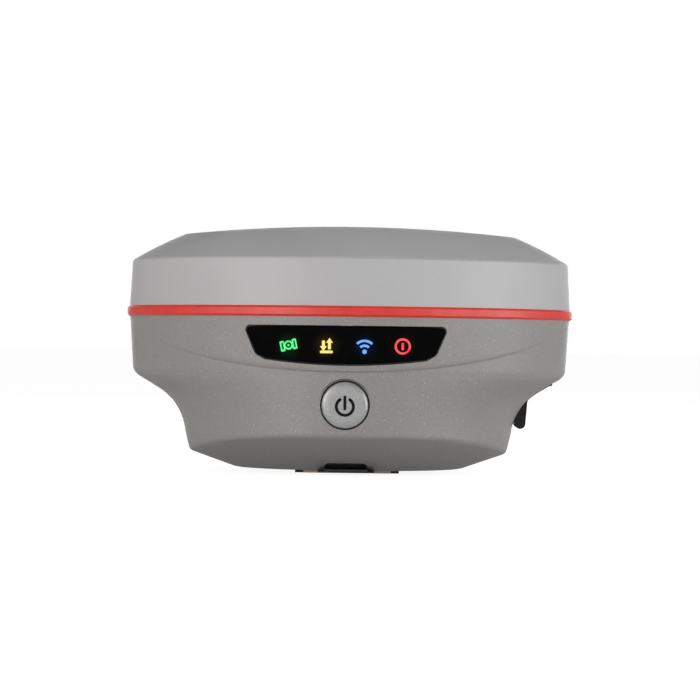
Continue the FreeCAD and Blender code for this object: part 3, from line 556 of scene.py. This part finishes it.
def housing_column(turn):
    """One upright line of the skin from the collar up: (outer point, inward, upward shift)."""
    z = edge_height(turn)
    corner = Vector((*plan_point(turn, z), z))
    heading = corner.xy.normalized()
    rows = []
    inner_end = corner.xy.length - EDGE_ROUND
    radii = [COLLAR_RADIUS, 24.0, 31.0, 37.0, 39.4, 40.6]
    for radius in radii + steps_between(42.0, inner_end, 9) + [inner_end]:
        rows.append((Vector((*(heading * radius), chamfer_height(radius))), 0.0, 1.0))
    start = rows[-1][0]
    top = z + EDGE_ROUND
    finish = Vector((*plan_point(turn, top), top))
    for share in (0.2, 0.4, 0.6, 0.8):
        bend = start.lerp(corner, share).lerp(corner.lerp(finish, share), share)
        rows.append((bend, share, 1.0 - share * 0.5))
    brow = brow_line(plan_point(turn, 45.0))
    for height in (steps_between(top, brow - BROW_STEP, 70)
                   + steps_between(brow - BROW_STEP, brow, 6)):
        rows.append((Vector((*wall_point(turn, height), height)), 1.0, 0.0))
    for height in steps_between(brow, JOINT_Z - 0.1, 14) + [JOINT_Z - 0.1, JOINT_Z]:
        rows.append((Vector((*wall_point(turn, height), height)), 1.0, 0.0))
    return rows


def finish_mesh(name, bm, body, slot, stands_for=(), sharp=35):
    """Turn a bmesh in mm into a placed piece with its material."""
    bmesh.ops.scale(bm, vec=(MM, MM, MM), verts=bm.verts)
    bmesh.ops.recalc_face_normals(bm, faces=bm.faces)
    mesh = bpy.data.meshes.new(name)
    bm.to_mesh(mesh)
    bm.free()
    mesh.materials.append(materials[slot].material)
    mesh.shade_smooth()
    mesh.set_sharp_from_angle(angle=math.radians(sharp))
    piece = bpy.data.objects.new(name, mesh)
    scene.collection.objects.link(piece)
    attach(piece, body)
    if stands_for:
        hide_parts(*stands_for)
    return piece


def loft(bm, rings, closed_rows=False):
    """Skin closed rings of points; closed_rows joins the last ring to the first."""
    rows = [[bm.verts.new(point) for point in ring] for ring in rings]
    pairs = list(zip(rows, rows[1:]))
    if closed_rows:
        pairs.append((rows[-1], rows[0]))
    for low, high in pairs:
        count = len(low)
        for number in range(count):
            after = (number + 1) % count
            bm.faces.new((low[number], low[after], high[after], high[number]))
    return rows


def capped_loft(bm, rings):
    rows = loft(bm, rings)
    bm.faces.new(rows[0][::-1])
    bm.faces.new(rows[-1])


def housing_skin():
    """The whole shell as one closed skin, with its inner side set in by the wall."""
    columns = [housing_column(2 * math.pi * number / COLUMNS) for number in range(COLUMNS)]
    outer = [[column[row][0] for column in columns] for row in range(len(columns[0]))]
    inner = []
    for row in range(0, len(columns[0]), 2):
        ring = []
        for column in columns:
            point, inward, upward = column[row]
            radius = point.xy.length
            shift = point.xy * (-inward * WALL / radius)
            ring.append(point + Vector((shift.x, shift.y, upward * WALL)))
        inner.append(ring)
    inner[-1] = [Vector((point.x, point.y, JOINT_Z)) for point in inner[-1]]
    bm = bmesh.new()
    loft(bm, outer + inner[::-1], closed_rows=True)
    return bm


# ---- tools that cut the housing ---------------------------------------------------------------

def circle(radius, count=64):
    turns = [2 * math.pi * step / count for step in range(count)]
    return [Vector((math.cos(turn), math.sin(turn))) * radius for turn in turns]


def lathe(bm, profile, place=(0, 0, 0), axis="Z", count=64):
    """Turn an open (radius, height) profile into a capped solid."""
    turn = {"Z": Matrix.Identity(3), "Y": Matrix.Rotation(-math.pi / 2, 3, "X"),
            "X": Matrix.Rotation(math.pi / 2, 3, "Y")}[axis]
    rings = [[turn @ Vector((*point, height)) + Vector(place) for point in circle(radius, count)]
             for radius, height in profile]
    capped_loft(bm, rings)


def box_solid(bm, low, high):
    made = bmesh.ops.create_cube(bm, size=1.0)
    middle = (Vector(low) + Vector(high)) / 2
    size = Vector(high) - Vector(low)
    bmesh.ops.scale(bm, vec=size, verts=made["verts"])
    bmesh.ops.translate(bm, vec=middle, verts=made["verts"])


def rounded(corners, steps=6):
    """An outline from (x, z, radius) corners, with each corner rounded."""
    points = []
    count = len(corners)
    for number, (x, z, radius) in enumerate(corners):
        here = Vector((x, z))
        before = (Vector(corners[number - 1][:2]) - here).normalized()
        after = (Vector(corners[(number + 1) % count][:2]) - here).normalized()
        if radius <= 0:
            points.append(here)
            continue
        half = before.angle(after) / 2
        run = radius / math.tan(half)
        centre = here + (before + after).normalized() * radius / math.sin(half)
        first, last = here + before * run - centre, here + after * run - centre
        sweep = first.angle_signed(last)
        for step in range(steps + 1):
            turned = Matrix.Rotation(-sweep * step / steps, 2) @ first
            points.append(centre + turned)
    return points


def window_outline(inset):
    """The boat-shaped window: a straight top, leaning sides and a shallow curved foot."""
    top, low, arc = 51.05 - inset, 39.5 + 0.8 * inset, 200.0
    foot = 27.0 - 0.7 * inset
    dip = arc - math.sqrt(arc ** 2 - foot ** 2)
    base = [(foot * side, low - dip * (1 - side * side), 0.0) for side in
            (-0.8, -0.6, -0.4, -0.2, 0.0, 0.2, 0.4, 0.6, 0.8)]
    half, middle = 34.5 - inset, 30.4 - inset
    right = [(foot, low, 1.6), (middle, 41.4, 2.5), (half, top, 1.6 - 0.5 * inset)]
    left = [(-x, z, radius) for x, z, radius in reversed(right)]
    return rounded(base + right + left)


def prism(bm, outline, near, far):
    """Run an (x, z) outline between two y values."""
    capped_loft(bm, [[Vector((point.x, y, point.y)) for point in outline] for y in (near, far)])


def side_point(side, across, z, push):
    """A point of the scoop (+X, by its y) or of the rear wall (+Y, by its x), pushed outwards."""
    def place(u, height):
        power = roundness(height)
        wide, deep = half_width(height), half_depth(height)
        if side == "right":
            return Vector((wide * (1 - abs(u / deep) ** power) ** (1 / power), u, height))
        return Vector((u, deep * (1 - abs(u / wide) ** power) ** (1 / power), height))
    here = place(across, z)
    step = 0.05
    along = place(across + step, z) - place(across - step, z)
    upward = place(across, z + step) - place(across, z - step)
    normal = along.cross(upward).normalized()
    if normal.dot(here) < 0:
        normal.negate()
    return here + normal * push


def patch(bm, side, half, low, high, inner, outer, count=24, rows=24):
    """A slab that follows the wall, between two pushes from its surface."""
    heights = [low + (high - low) * step / rows for step in range(rows + 1)]
    spans = [-half + 2 * half * step / count for step in range(count + 1)]
    rings = []
    for height in heights:
        front = [side_point(side, span, height, outer) for span in spans]
        back = [side_point(side, span, height, inner) for span in reversed(spans)]
        rings.append(front + back)
    capped_loft(bm, rings)


def tool(name, bm):
    """A loose object in mm, to cut or be cut."""
    bmesh.ops.recalc_face_normals(bm, faces=bm.faces)
    mesh = bpy.data.meshes.new(name)
    bm.to_mesh(mesh)
    bm.free()
    cutter = bpy.data.objects.new(name, mesh)
    scene.collection.objects.link(cutter)
    return cutter


def cut_with(bm, cutters):
    """Cut each tool from a solid in mm and give the result back."""
    block = tool("cut_block", bm)
    for cutter in cutters:
        change = block.modifiers.new(cutter.name, "BOOLEAN")
        change.object = cutter
        change.operation = "DIFFERENCE"
        change.solver = "EXACT"
    bpy.context.view_layer.update()
    graph = bpy.context.evaluated_depsgraph_get()
    result = bmesh.new()
    result.from_mesh(bpy.data.meshes.new_from_object(block.evaluated_get(graph)))
    for thing in [block, *cutters]:
        bpy.data.objects.remove(thing)
    return result


def button_ring(outline, y):
    """An outline about the button's middle, set upright at this y."""
    return [Vector((point.x, y, point.y + BUTTON_Z)) for point in outline]


def make_housing():
    """The shell with its openings, the button's cup and the ears of the rear door's hinge."""
    wells = bmesh.new()
    prism(wells, window_outline(0), -84, -60)
    lathe(wells, [(8.8, -80.0), (8.8, -74.8), (8.3, -75.3), (8.3, -69.0)],
          (0, 0, BUTTON_Z), "Y")
    patch(wells, "right", 11.3, 15.6, 32.2, -1.5, 6)
    patch(wells, "back", 28.3, 17.3, 40.9, -2.0, 6)
    for x, y in FOOT_POSTS:
        lathe(wells, [(3.0, 0.8), (3.0, 3.4)], (x, y, 0))
    lathe(wells, [(2.5, 0.0), (2.5, 6.0)], (-24, 24, 0))
    notch = rounded([(-8.15, 0.6, 0), (8.15, 0.6, 0), (7.0, 4.35, 1.9), (-7.0, 4.35, 1.9)])
    prism(wells, notch, -48.8, -39.8)
    holes = bmesh.new()
    box_solid(holes, (50, -9.5, 18.6), (70, 9.5, 28.2))
    box_solid(holes, (-25, 62, 18.2), (25, 82, 38.2))
    box_solid(holes, (-6.2, -38.2, 0), (6.2, -28.2, 6))
    lathe(holes, [(1.9, -8.3), (1.9, 8.3)], (0, DOOR_HINGE_Y, DOOR_HINGE_Z), "X")
    shell = cut_with(housing_skin(), [tool("wells", wells), tool("holes", holes)])
    finish_mesh("housing_shell", shell, "receiver", "housing_paint", ["lower_housing"], 32)
    cup = bmesh.new()
    loft(cup, [button_ring(circle(radius), y) for radius, y in
               ((8.31, -74.2), (8.31, -69.2), (3.0, -69.2), (3.0, -67.7), (9.8, -67.7),
                (9.8, -73.0))])
    finish_mesh("button_cup", cup, "receiver", "housing_paint", ["lower_housing"])
    for number, low in enumerate((-12.3, 8.3)):
        ear = bmesh.new()
        lathe(ear, [(1.3, low), (1.6, low + 0.3), (1.6, low + 3.7), (1.3, low + 4.0)],
              (0, DOOR_HINGE_Y, DOOR_HINGE_Z), "X", 32)
        finish_mesh(f"hinge_ear_{number}", ear, "receiver", "housing_paint", ["lower_housing"])


def circle_outline(x, z, radius, count=48):
    return [point + Vector((x, z)) for point in circle(radius, count)]


def bar_outline(x, z, wide, tall, bend, tilt=0.0):
    """An upright bar with rounded corners, from its middle, turned about the icon's own middle."""
    outline = rounded([(x - wide / 2, z - tall / 2, bend), (x + wide / 2, z - tall / 2, bend),
                       (x + wide / 2, z + tall / 2, bend), (x - wide / 2, z + tall / 2, bend)])
    turn = Matrix.Rotation(tilt, 2)
    return [turn @ point for point in outline]


def inlay(bm, outline, at, hole=None):
    """An icon's stroke on the window's face, with a matching hole outline if it has one."""
    def ring(points, lift):
        return [face_point(point.x + at[0], point.y + at[1], lift) for point in points]
    front, back = 0.03, -0.3
    if hole:
        rings = [ring(outline, back), ring(outline, front), ring(hole, front), ring(hole, back)]
        loft(bm, rings, closed_rows=True)
    else:
        capped_loft(bm, [ring(outline, back), ring(outline, front)])


def fan_outline(inner, outer, half_angle, count=20):
    """A band of a circle, open at the foot, with its middle straight up."""
    angles = [math.pi / 2 - half_angle + 2 * half_angle * step / count for step in range(count + 1)]
    return ([Vector((math.cos(angle), math.sin(angle))) * outer for angle in angles]
            + [Vector((math.cos(angle), math.sin(angle))) * inner for angle in reversed(angles)])


def make_icons():
    """The four lit icons, each drawn as inlays on the window's face."""
    def icon(name, slot, strokes, at):
        bm = bmesh.new()
        for stroke in strokes:
            outline, hole = stroke if isinstance(stroke, tuple) else (stroke, None)
            inlay(bm, outline, at, hole)
        finish_mesh(f"{name}_lit", bm, "receiver", slot, [name])
    places = [(x, ICON_Z) for x in ICON_PLACES]
    tilt = math.radians(12)
    panels = [(bar_outline(x, 0, 1.5, 3.5, 0.35, tilt), bar_outline(x, 0, 0.5, 2.3, 0.2, tilt))
              for x in (-2.05, 2.05)]
    body = (circle_outline(0, 0, 1.55), circle_outline(0, 0, 0.95))
    links = [bar_outline(x, 0, 0.7, 0.8, 0.1, tilt) for x in (-1.35, 1.35)]
    satellite = [*panels, body, circle_outline(0, 0, 0.4, 24), *links]
    icon("icon_satellite", "icon_green", satellite, places[0])
    arrows = []
    for x, way in ((-1.0, -1), (1.0, 1)):
        head = [Vector((x - 1.15, 0.55 * way)), Vector((x + 1.15, 0.55 * way)),
                Vector((x, 2.2 * way))]
        shaft = bar_outline(x, -0.15 + 0.05 * way, 1.0, 3.0, 0.15)
        arrows += [head if way > 0 else head[::-1], shaft]
    arrows = [[point + Vector((0, 0.35)) for point in outline] for outline in arrows]
    icon("icon_data_link", "icon_yellow", [*arrows, bar_outline(0, -2.1, 4.3, 0.9, 0.4)], places[1])
    waves = [fan_outline(inner, inner + 0.8, math.radians(44)) for inner in (1.6, 3.2)]
    waves = [[point - Vector((0, 1.9)) for point in wave] for wave in waves]
    icon("icon_wireless", "icon_blue", [*waves, circle_outline(0, -1.9, 0.75, 32)], places[2])
    ring = (circle_outline(0, 0, 2.72), circle_outline(0, 0, 1.98))
    icon("icon_power", "icon_red", [ring, bar_outline(0, 0, 0.85, 2.5, 0.4)], places[3])


def make_window():
    """Black glass that follows the brow, set in a soft rounded bezel."""
    outline = window_outline(0.55)
    edges = list(zip(outline, outline[1:] + outline[:1]))
    half = max(point.x for point in outline) - 0.01
    glass = bmesh.new()
    columns = []
    for step in range(81):
        x = -half * math.cos(math.pi * step / 80)
        cuts = [a.y + (b.y - a.y) * (x - a.x) / (b.x - a.x) for a, b in edges
                if (a.x - x) * (b.x - x) <= 0 and a.x != b.x]
        rows = [min(cuts) + (max(cuts) - min(cuts)) * row / 12 for row in range(13)]
        columns.append([face_point(x, z, 0.0) for z in rows]
                       + [face_point(x, z, -2.0) for z in reversed(rows)])
    capped_loft(glass, columns)
    finish_mesh("window_glass", glass, "receiver", "window_black", ["led_window"])
    bezel = bmesh.new()
    profile = ((-0.01, -1.6), (-0.01, 0.2), (0.1, 0.36), (0.3, 0.42), (0.5, 0.34), (0.62, 0.16),
               (0.68, -0.1), (0.7, -1.6))
    loft(bezel, [[face_point(point.x, point.y, lift) for point in window_outline(inset)]
                 for inset, lift in profile], closed_rows=True)
    finish_mesh("window_bezel", bezel, "receiver", "black_rubber", ["window_gasket"], 60)


def make_button():
    """The button's cap, its printed symbol and a black rubber seal ring set forward into the gap
    around the cap, where its black is painted shade standing in for the gap's shadow.
    """
    cap = bmesh.new()
    lathe(cap, [(2.0, -66.0), (2.0, -71.0), (7.5, -71.0), (7.8, -71.3), (7.8, -74.3),
                (7.66, -74.66), (7.3, -74.95), (6.85, -75.12), (6.75, -75.32), (6.5, -75.4),
                (4.0, -75.38), (1.0, -75.36)], (0, 0, BUTTON_Z), "Y", 96)
    finish_mesh("button_cap", cap, "button", "button_silver", ["power_button"], 30)
    symbol = bmesh.new()
    drop = -0.5
    gap = math.radians(35)
    ring = fan_outline(2.35, 3.35, math.pi - gap, 40)
    ends = [Vector((math.cos(angle), math.sin(angle))) * 2.85
            for angle in (-math.pi / 2 - (math.pi - gap), -math.pi / 2 + (math.pi - gap))]
    shapes = [[Vector((point.x, drop - point.y)) for point in ring],
              bar_outline(0, drop + 1.25, 0.98, 4.9, 0.48)]
    shapes += [circle_outline(end.x, drop + end.y, 0.5, 24) for end in ends]
    for shape in shapes:
        capped_loft(symbol, [button_ring(shape, y) for y in (-75.0, -75.43)])
    finish_mesh("button_print", symbol, "button", "symbol_black", ["button_symbol"])
    # Painted shade: this black rubber ring fills the gap between cap and hole so that the gap reads
    # dark. The real seal sits at the cup's floor.
    seal_and_gap_shade = bmesh.new()
    profile = ((7.86, -69.3), (8.29, -69.3), (8.29, -74.0), (8.2, -74.2), (7.95, -74.2),
               (7.86, -74.0))
    loft(seal_and_gap_shade, [button_ring(circle(radius, 96), y) for radius, y in profile], closed_rows=True)
    finish_mesh("button_seal_and_gap_shade", seal_and_gap_shade, "receiver", "black_rubber", ["button_seal"], 60)


def make_battery_door():
    """The rear door follows the wall, with a knuckle at its foot and a track for the latch."""
    door = bmesh.new()
    patch(door, "back", 28.0, 17.6, 40.0, -1.8, 0.35, 40, 30)
    track = bmesh.new()
    box_solid(track, (-6.4, 74.9, 30.6), (6.4, 79.0, 38.4))
    finish_mesh("battery_door_panel", cut_with(door, [tool("track", track)]), "battery_door",
                "housing_paint", ["battery_door"])
    hinge = bmesh.new()
    lathe(hinge, [(1.35, -8.0), (1.6, -7.75), (1.6, 7.75), (1.35, 8.0)],
          (0, DOOR_HINGE_Y, DOOR_HINGE_Z), "X", 40)
    box_solid(hinge, (-7.8, 73.8, DOOR_HINGE_Z), (7.8, 75.6, 18.4))
    finish_mesh("battery_door_knuckle", hinge, "battery_door", "housing_paint", ["battery_door"])


make_camera()
make_studio()
make_floor()
materials = make_materials()
dress_cad_nodes(materials)
make_housing()
make_window()
make_icons()
make_button()
make_battery_door()
